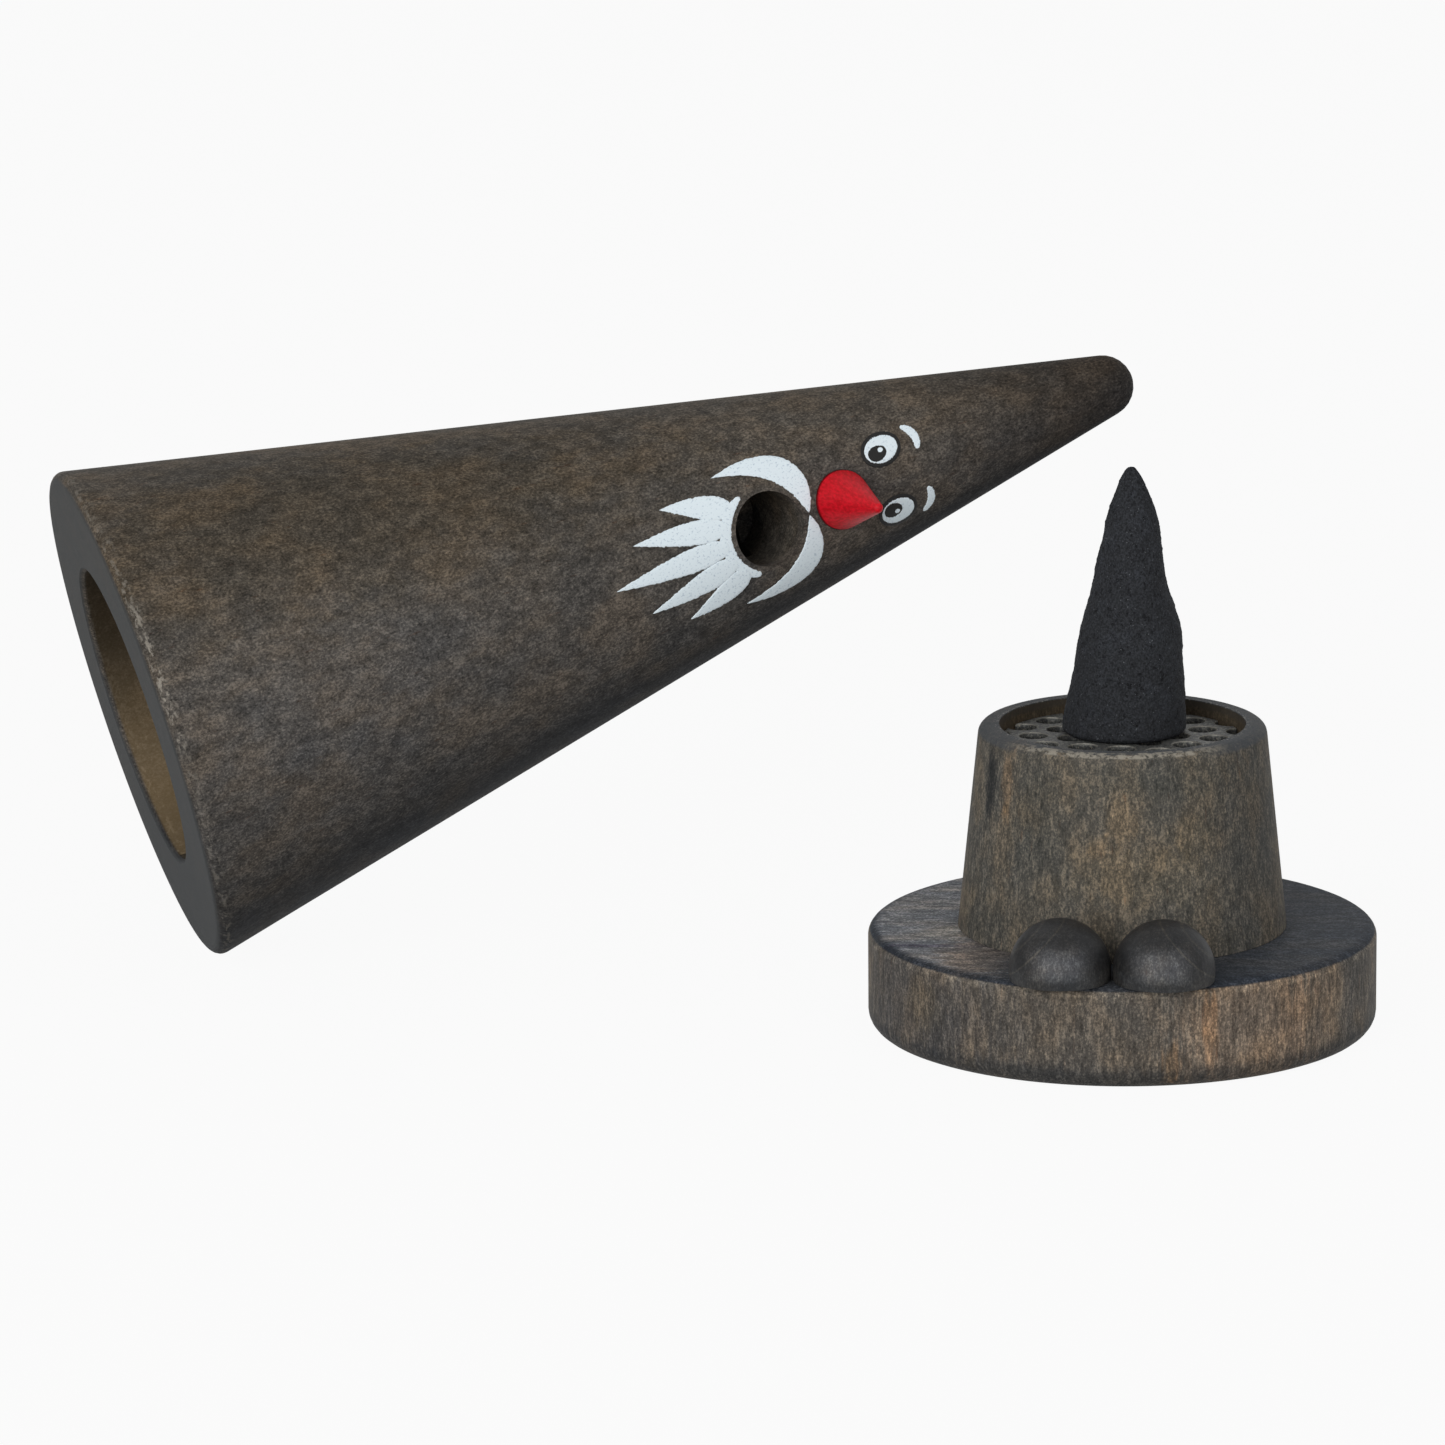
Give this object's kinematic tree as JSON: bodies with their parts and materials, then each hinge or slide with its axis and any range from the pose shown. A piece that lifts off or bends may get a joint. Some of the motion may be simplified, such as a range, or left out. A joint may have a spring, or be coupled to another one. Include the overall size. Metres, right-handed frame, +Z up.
{
  "type": "incense burner",
  "caption": "Turned wooden incense burner: footed base with a perforated burner plate and incense cone, and a tall hollow conical cap with smoke hole and round nose, shown taken off.",
  "frame": {"origin": "centre of the base disc's underside, on the surface that the burner stands on", "axes": "+Z up along the base's axis; -Y towards the feet and the side that the face looks to; +X to the right"},
  "size_m": [0.1311, 0.0829, 0.0537],
  "materials": {
    "disc_wood": "dark stained hardwood, satin",
    "hub_wood": "dark stained hardwood, satin",
    "foot_wood": "near-black stained hardwood, satin",
    "cap_wood": "dark stained hardwood, satin",
    "nose_lacquer": "bright red lacquer, gloss",
    "plate_steel": "blackened steel sheet, dusty",
    "incense": "pressed charcoal powder, matte"
  },
  "bodies": {
    "base": {"base_disc": "disc_wood", "hub": "hub_wood", "foot_left": "foot_wood", "foot_right": "foot_wood"},
    "plate": {"burner_plate": "plate_steel"},
    "incense": {"incense_cone": "incense"},
    "cap": {"cap_cone": "cap_wood", "nose": "nose_lacquer"}
  },
  "joints": [
    {"name": "plate_lift", "type": "slide", "parent": "base", "child": "plate", "axis": [0, 0, 1], "range_m": [0, 0.012]},
    {"name": "incense_lift", "type": "slide", "parent": "plate", "child": "incense", "axis": [0, 0, 1], "range_m": [0, 0.03]},
    {"name": "cap_tip", "type": "hinge", "parent": "base", "child": "cap", "pos_m": [-0.09035, 0.0241, 0.001], "axis": [0.3305, -0.9438, 0], "range_deg": [-27, 74.6]}
  ]
}
